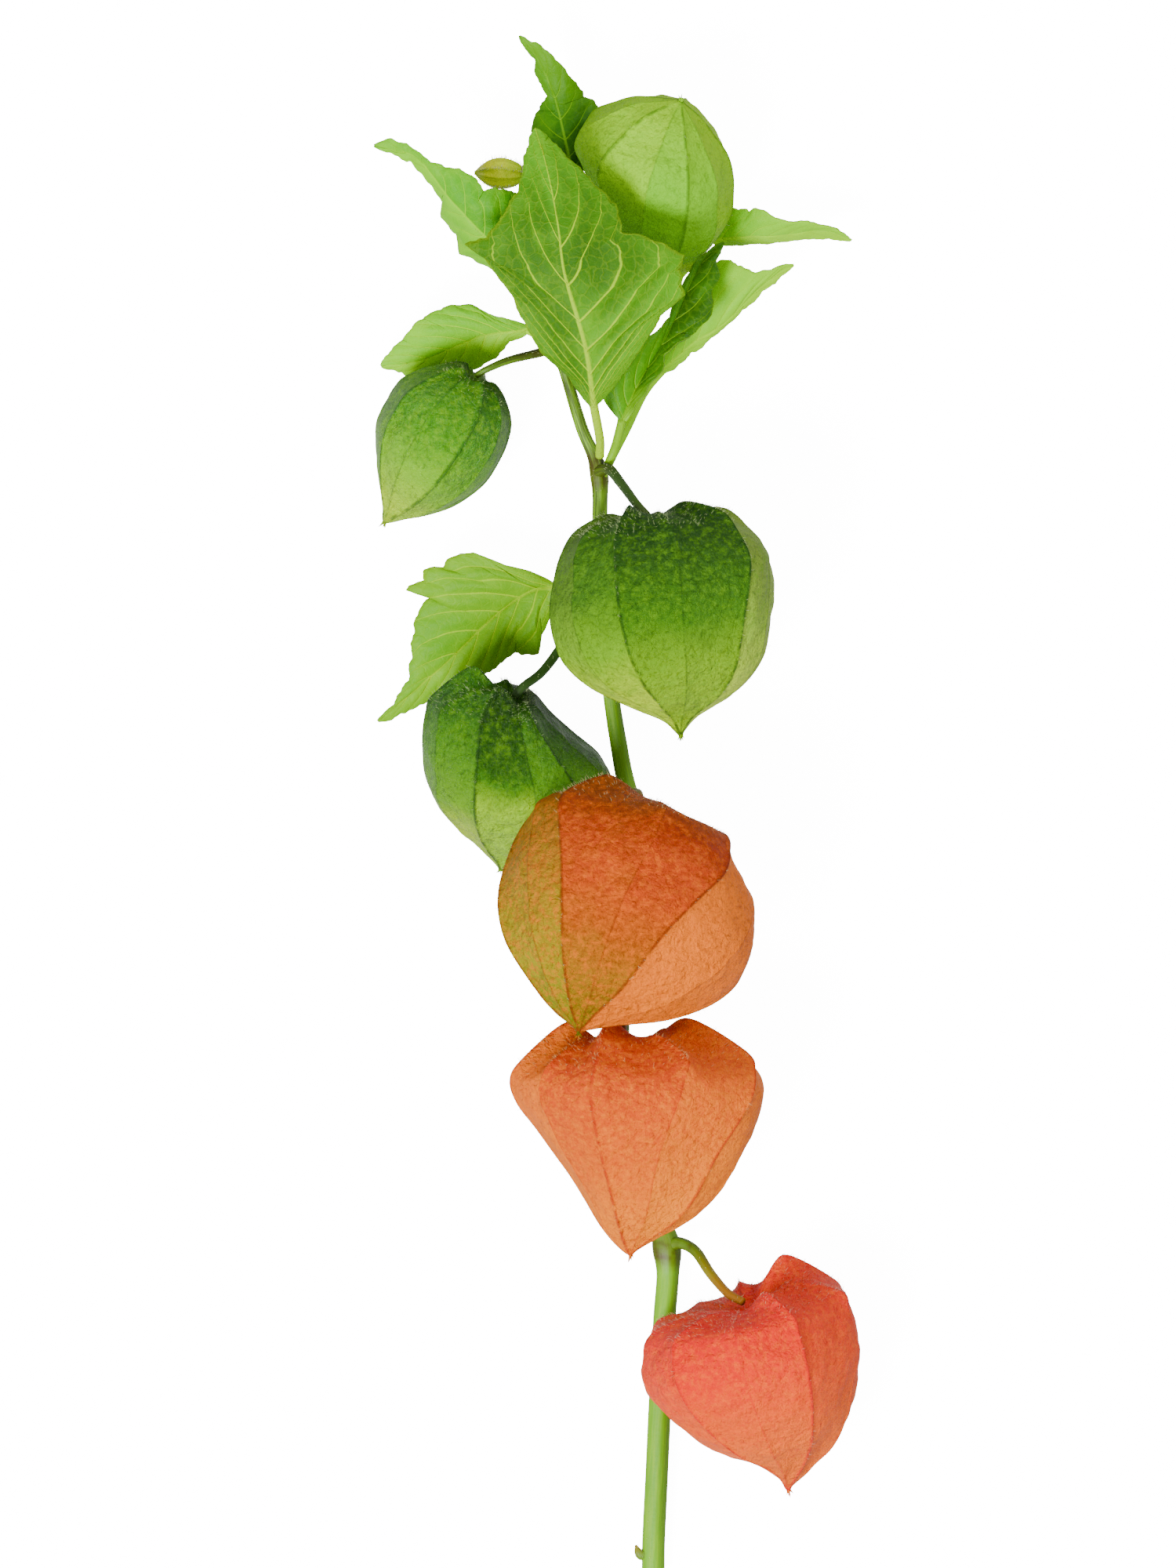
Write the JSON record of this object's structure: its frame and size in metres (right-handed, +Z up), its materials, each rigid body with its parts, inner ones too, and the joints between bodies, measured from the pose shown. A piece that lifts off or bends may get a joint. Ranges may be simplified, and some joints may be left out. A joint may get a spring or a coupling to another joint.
{
  "type": "cut stem of chinese lantern plant",
  "caption": "Freshly cut stem of Chinese lantern (physalis) laid down, with ribbed papery husks ripening from green to orange and red, and lobed green leaves.",
  "frame": {"origin": "middle of the base of the box round the stem as it lies, on the surface that it rests on", "axes": "+Y from the cut end towards the stem's growing tip, +X to the right seen from above, +Z up from the surface"},
  "size_m": [0.0925, 0.2948, 0.0573],
  "materials": {
    "stem": "fresh green stem, satin, with swollen olive nodes",
    "lantern_lime": "pale lime green, thin and lit through, paler towards the rim",
    "lantern_small_green": "mid green with a soft gloss, pale point",
    "lantern_big_green": "dark green at the crown to light green at the point",
    "lantern_dark_green": "dark green, slightly glossy, lime at the point",
    "lantern_turning": "turning from olive green to orange, green at the point",
    "lantern_orange": "orange, papery, yellower on one side",
    "lantern_red": "red-orange, papery, with pale ribs and rim",
    "lantern_bud": "very pale green with a yellow belly",
    "leaf_top": "light lime green, soft",
    "leaf_upper_left": "light lime green with pale veins, soft",
    "leaf_front": "grey-green underside with pale veins, soft",
    "leaf_far_right": "light yellow-green, soft",
    "leaf_right_back": "yellow-green, soft, paler along one edge",
    "leaf_right_front": "dark and lime green, soft",
    "leaf_mid_left": "light green with pale veins, soft",
    "leaf_low_left": "light green with pale veins, soft"
  },
  "bodies": {
    "root": {"stem": "stem", "lantern_lime": "lantern_lime", "lantern_small_green": "lantern_small_green", "lantern_big_green": "lantern_big_green", "lantern_dark_green": "lantern_dark_green", "lantern_turning": "lantern_turning", "lantern_orange": "lantern_orange", "lantern_red": "lantern_red", "lantern_bud": "lantern_bud", "leaf_top": "leaf_top", "leaf_upper_left": "leaf_upper_left", "leaf_front": "leaf_front", "leaf_far_right": "leaf_far_right", "leaf_right_back": "leaf_right_back", "leaf_right_front": "leaf_right_front", "leaf_mid_left": "leaf_mid_left", "leaf_low_left": "leaf_low_left"}
  },
  "joints": []
}
